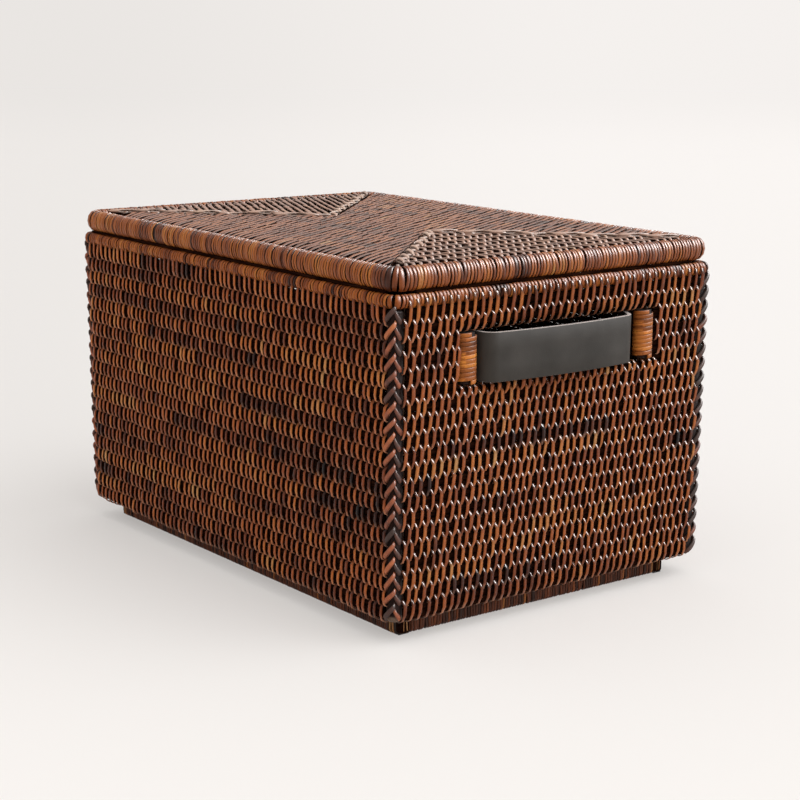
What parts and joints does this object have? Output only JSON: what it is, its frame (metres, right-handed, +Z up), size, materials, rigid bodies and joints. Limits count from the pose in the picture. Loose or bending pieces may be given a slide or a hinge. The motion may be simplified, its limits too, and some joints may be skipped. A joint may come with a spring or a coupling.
{
  "type": "woven lidded box",
  "caption": "Oblong woven rattan storage box with a loose lid, laced corners, bound rims, a plinth and a leather strap handle through a slot at each end.",
  "frame": {"origin": "middle of the plinth's foot, on the surface that the box stands on", "axes": "+X along the length towards the right handle, +Y to the back, +Z up"},
  "size_m": [0.3808, 0.25, 0.2176],
  "materials": {
    "woven_rattan": "stained rattan strand, satin",
    "dark_cane": "dark stained cane, satin",
    "rim_strand": "golden brown split strand, semi-gloss",
    "golden_strand": "orange brown split strand, satin",
    "plinth_strand": "dark brown split strand, satin",
    "lid_rattan": "paler rattan strand, satin",
    "strap_leather": "dark warm grey leather, matt, raw cut edge"
  },
  "bodies": {
    "basket": {"front_wall_weave": "woven_rattan", "back_wall_weave": "woven_rattan", "right_wall_weave": "woven_rattan", "left_wall_weave": "woven_rattan", "right_handle_jamb_front": "dark_cane", "right_handle_winding_front": "golden_strand", "right_handle_jamb_back": "dark_cane", "right_handle_winding_back": "golden_strand", "left_handle_jamb_front": "dark_cane", "left_handle_winding_front": "golden_strand", "left_handle_jamb_back": "dark_cane", "left_handle_winding_back": "golden_strand", "corner_post_front_right": "dark_cane", "corner_lacing_front_right": "woven_rattan", "corner_post_back_right": "dark_cane", "corner_lacing_back_right": "woven_rattan", "corner_post_back_left": "dark_cane", "corner_lacing_back_left": "woven_rattan", "corner_post_front_left": "dark_cane", "corner_lacing_front_left": "woven_rattan", "rim_hoop": "dark_cane", "rim_binding": "rim_strand", "base_weave": "woven_rattan", "base_rail_front": "dark_cane", "plinth_rail_front": "dark_cane", "plinth_binding_front": "plinth_strand", "base_rail_back": "dark_cane", "plinth_rail_back": "dark_cane", "plinth_binding_back": "plinth_strand", "base_rail_right": "dark_cane", "plinth_rail_right": "dark_cane", "plinth_binding_right": "plinth_strand", "base_rail_left": "dark_cane", "plinth_rail_left": "dark_cane", "plinth_binding_left": "plinth_strand"},
    "lid": {"lid_seam_front_right": "lid_rattan", "lid_seam_back_right": "lid_rattan", "lid_seam_back_left": "lid_rattan", "lid_seam_front_left": "lid_rattan", "lid_lath_front": "dark_cane", "lid_lath_back": "dark_cane", "lid_lath_right": "dark_cane", "lid_lath_left": "dark_cane", "lid_rim_hoop": "dark_cane", "lid_rim_binding": "rim_strand", "lid_weave_middle": "lid_rattan", "lid_weave_right": "lid_rattan", "lid_weave_left": "lid_rattan"},
    "right_strap_body": {"right_strap_dowel_front": "dark_cane", "right_strap_dowel_back": "dark_cane", "right_strap": "strap_leather"},
    "left_strap_body": {"left_strap_dowel_front": "dark_cane", "left_strap_dowel_back": "dark_cane", "left_strap": "strap_leather"}
  },
  "joints": [
    {"name": "lid_lift", "type": "slide", "parent": "basket", "child": "lid", "axis": [0, 0, 1], "range_m": [0, 0.12]},
    {"name": "right_strap_play", "type": "slide", "parent": "basket", "child": "right_strap_body", "axis": [1, 0, 0], "range_m": [-0.008, 0]},
    {"name": "left_strap_play", "type": "slide", "parent": "basket", "child": "left_strap_body", "axis": [-1, 0, 0], "range_m": [-0.008, 0]}
  ]
}
